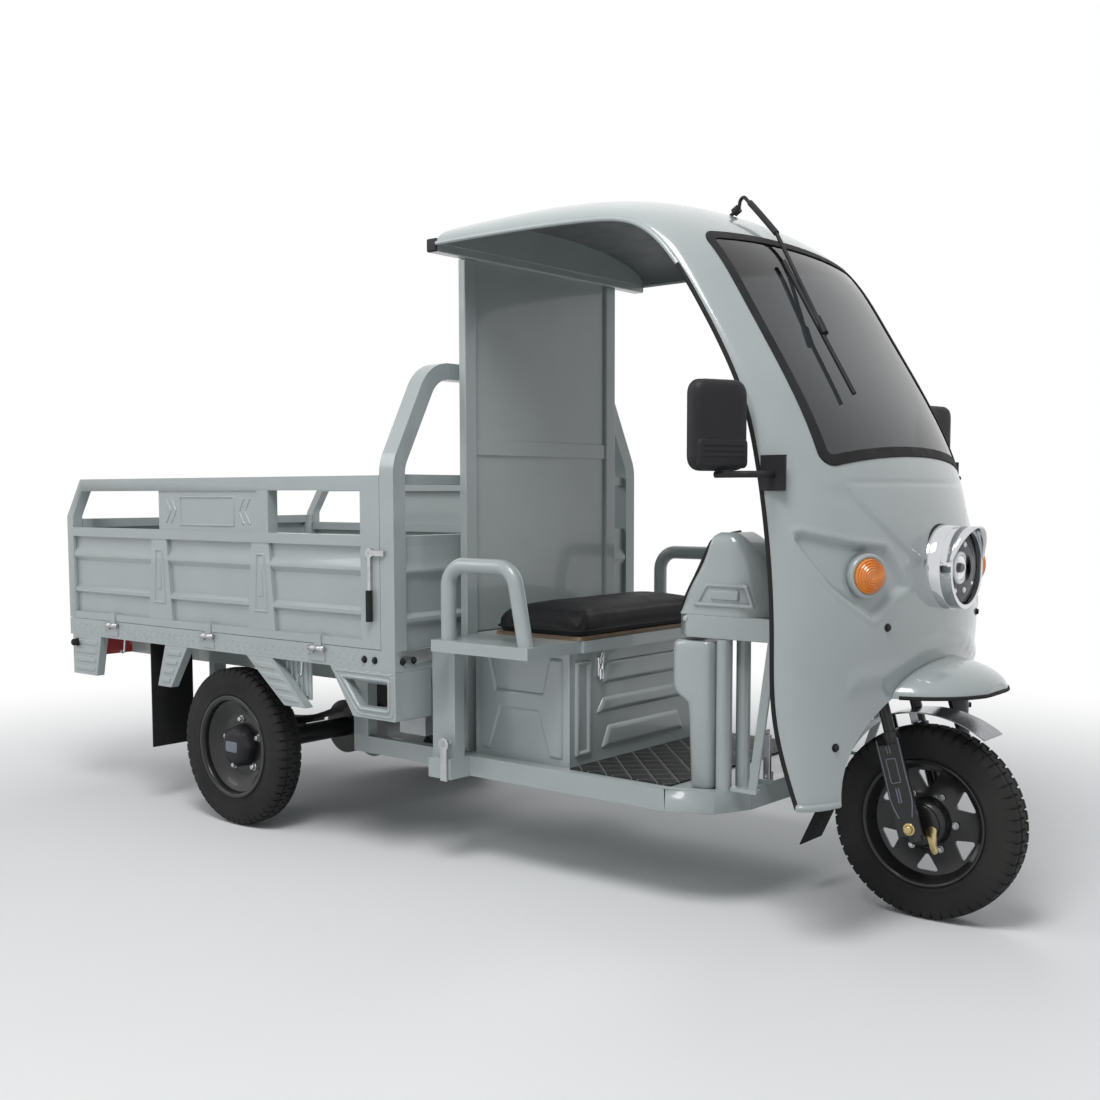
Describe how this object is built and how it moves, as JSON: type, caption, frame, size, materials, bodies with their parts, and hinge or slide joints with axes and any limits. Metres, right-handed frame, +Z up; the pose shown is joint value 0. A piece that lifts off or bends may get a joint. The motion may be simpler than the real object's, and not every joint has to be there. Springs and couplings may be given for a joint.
{
  "type": "cargo tricycle",
  "caption": "Motor cargo tricycle with a half cab over the rider, a single front wheel on a telescopic fork and a long bed with drop sides and a tailgate.",
  "frame": {"origin": "on the ground under the middle of the overall length and width", "axes": "+X forward, +Y to the rider's left, +Z up"},
  "size_m": [3.3986, 1.3829, 1.928],
  "materials": {
    "paint": "gloss grey paint",
    "deck": "satin grey paint",
    "black_steel": "satin black",
    "cast": "as cast",
    "bare_steel": "zinc plated",
    "spring": "black spring steel",
    "tyre": "matte",
    "rubber": "matte",
    "chrome": "polished",
    "black_plastic": "textured",
    "vinyl": "smooth black vinyl",
    "board": "plywood",
    "glass": "clear",
    "amber": "clear amber",
    "red": "clear red"
  },
  "bodies": {
    "chassis": {"armrests": "paint", "battery_pack": "black_plastic", "bed_deck": "deck", "bed_frame": "paint", "bed_front_wall": "paint", "bed_hoop": "paint", "bed_side_brackets": "paint", "cab_back_panel": "paint", "cab_rear_frame": "paint", "cab_shell": "paint", "chassis_frame": "paint", "dash_belt": "paint", "dash_cowls": "paint", "dash_leg_covers": "paint", "floor_mat": "rubber", "floor_pan": "paint", "front_lip": "paint", "headlight_body": "chrome", "headlight_lens": "glass", "leaf_springs": "spring", "mirror_arms": "black_plastic", "motor_controller": "cast", "mud_flaps": "rubber", "parking_brake_base": "black_plastic", "seat_box": "paint", "seat_plate": "paint", "tail_lamps": "red", "turn_signals": "amber", "windscreen": "glass", "windscreen_seal": "rubber", "wiper_motor": "black_plastic"},
    "seat_lid": {"seat_board": "board", "seat_cushion": "vinyl"},
    "steering": {"fork_yoke": "black_steel", "handlebar": "black_steel"},
    "throttle": {"throttle_grip": "rubber"},
    "hand_brake": {"brake_lever": "black_steel"},
    "fork_lower": {"fork_sliders": "black_steel", "front_mudguard": "chrome"},
    "front_wheel": {"front_tyre": "tyre", "front_rim": "black_steel"},
    "rear_axle": {"rear_axle_housing": "black_steel", "drive_motor": "cast"},
    "rear_wheel_right": {"rear_tyre_right": "tyre", "rear_rim_right": "black_steel"},
    "rear_wheel_left": {"rear_tyre_left": "tyre", "rear_rim_left": "black_steel"},
    "gate_right": {"gate_right": "paint"},
    "gate_left": {"gate_left": "paint"},
    "tailgate": {"tailgate": "paint"},
    "gate_latch_right": {"gate_latch_right": "bare_steel"},
    "gate_latch_left": {"gate_latch_left": "bare_steel"},
    "tailgate_latch_right": {"tailgate_latch_right": "bare_steel"},
    "tailgate_latch_left": {"tailgate_latch_left": "bare_steel"},
    "mirror_right": {"mirror_right": "black_plastic"},
    "mirror_left": {"mirror_left": "black_plastic"},
    "wiper": {"wiper_arm": "black_plastic"},
    "brake_pedal": {"brake_pedal": "bare_steel"},
    "brake_rocker": {"brake_rocker": "bare_steel"},
    "parking_brake": {"parking_brake_lever": "bare_steel"}
  },
  "joints": [
    {"name": "steering", "type": "hinge", "parent": "chassis", "child": "steering", "pos_m": [1.42131, 0, 0.24583], "axis": [-0.2756, 0, 0.9613], "range_deg": [-28, 28]},
    {"name": "fork_travel", "type": "slide", "parent": "steering", "child": "fork_lower", "axis": [-0.2756, 0, 0.9613], "range_m": [0, 0.06], "stiffness_N_per_m": 30000, "springref_m": -0.046},
    {"name": "front_wheel_spin", "type": "hinge", "parent": "fork_lower", "child": "front_wheel", "pos_m": [1.4463, 0, 0.253], "axis": [0, 1, 0], "continuous": true},
    {"name": "axle_travel", "type": "slide", "parent": "chassis", "child": "rear_axle", "axis": [0, 0, 1], "range_m": [0, 0.05], "stiffness_N_per_m": 60000, "springref_m": -0.054, "deforming": ["leaf_springs"]},
    {"name": "rear_wheel_right_spin", "type": "hinge", "parent": "rear_axle", "child": "rear_wheel_right", "pos_m": [-0.7527, -0.518, 0.264], "axis": [0, 1, 0], "continuous": true},
    {"name": "rear_wheel_left_spin", "type": "hinge", "parent": "rear_axle", "child": "rear_wheel_left", "pos_m": [-0.7527, 0.518, 0.264], "axis": [0, 1, 0], "continuous": true},
    {"name": "gate_right_drop", "type": "hinge", "parent": "chassis", "child": "gate_right", "pos_m": [-0.7527, -0.5993, 0.635], "axis": [1, 0, 0], "range_deg": [0, 155]},
    {"name": "gate_left_drop", "type": "hinge", "parent": "chassis", "child": "gate_left", "pos_m": [-0.7527, 0.5993, 0.635], "axis": [-1, 0, 0], "range_deg": [0, 155]},
    {"name": "tailgate_drop", "type": "hinge", "parent": "chassis", "child": "tailgate", "pos_m": [-1.687, 0, 0.635], "axis": [0, -1, 0], "range_deg": [0, 155]},
    {"name": "gate_latch_right_turn", "type": "hinge", "parent": "gate_right", "child": "gate_latch_right", "pos_m": [-0.0287, -0.596, 0.933], "axis": [0, -1, 0], "range_deg": [0, 90]},
    {"name": "gate_latch_left_turn", "type": "hinge", "parent": "gate_left", "child": "gate_latch_left", "pos_m": [-0.0287, 0.596, 0.933], "axis": [0, -1, 0], "range_deg": [0, 90]},
    {"name": "tailgate_latch_right_turn", "type": "hinge", "parent": "tailgate", "child": "tailgate_latch_right", "pos_m": [-1.6837, -0.515, 0.933], "axis": [-1, 0, 0], "range_deg": [0, 90]},
    {"name": "tailgate_latch_left_turn", "type": "hinge", "parent": "tailgate", "child": "tailgate_latch_left", "pos_m": [-1.6837, 0.515, 0.933], "axis": [1, 0, 0], "range_deg": [0, 90]},
    {"name": "seat_lid_lift", "type": "hinge", "parent": "chassis", "child": "seat_lid", "pos_m": [0.2213, 0, 0.699], "axis": [0, -1, 0], "range_deg": [0, 70]},
    {"name": "mirror_right_turn", "type": "hinge", "parent": "chassis", "child": "mirror_right", "pos_m": [1.1773, -0.612, 1.16], "axis": [0, 0, 1], "range_deg": [-30, 30]},
    {"name": "mirror_left_turn", "type": "hinge", "parent": "chassis", "child": "mirror_left", "pos_m": [1.1773, 0.612, 1.16], "axis": [0, 0, 1], "range_deg": [-30, 30]},
    {"name": "wiper_sweep", "type": "hinge", "parent": "chassis", "child": "wiper", "pos_m": [0.8393, -0.02, 1.88], "axis": [0.8443, 0, 0.5358], "range_deg": [-15, 50]},
    {"name": "throttle_twist", "type": "hinge", "parent": "steering", "child": "throttle", "pos_m": [1.18123, -0.235, 1.08309], "axis": [0, -1, 0], "range_deg": [0, 60], "stiffness_Nm_per_rad": 0.3, "springref_deg": -11.46},
    {"name": "hand_brake_pull", "type": "hinge", "parent": "steering", "child": "hand_brake", "pos_m": [1.22545, -0.1627, 1.09577], "axis": [0.2756, 0, -0.9613], "range_deg": [0, 10], "stiffness_Nm_per_rad": 2, "springref_deg": -11.46},
    {"name": "brake_pedal_press", "type": "hinge", "parent": "chassis", "child": "brake_pedal", "pos_m": [1.0793, -0.2, 0.356], "axis": [0, 1, 0], "range_deg": [0, 18], "stiffness_Nm_per_rad": 10, "springref_deg": -11.46},
    {"name": "brake_rocker_turn", "type": "hinge", "parent": "chassis", "child": "brake_rocker", "pos_m": [0.1773, -0.504, 0.376], "axis": [0, 1, 0], "range_deg": [0, 18]},
    {"name": "parking_brake_pull", "type": "hinge", "parent": "chassis", "child": "parking_brake", "pos_m": [0.2303, 0.45, 0.728], "axis": [0, -1, 0], "range_deg": [0, 50]}
  ],
  "couplings": [
    {"joint": "brake_rocker_turn", "follows": "brake_pedal_press", "ratio": 1}
  ]
}
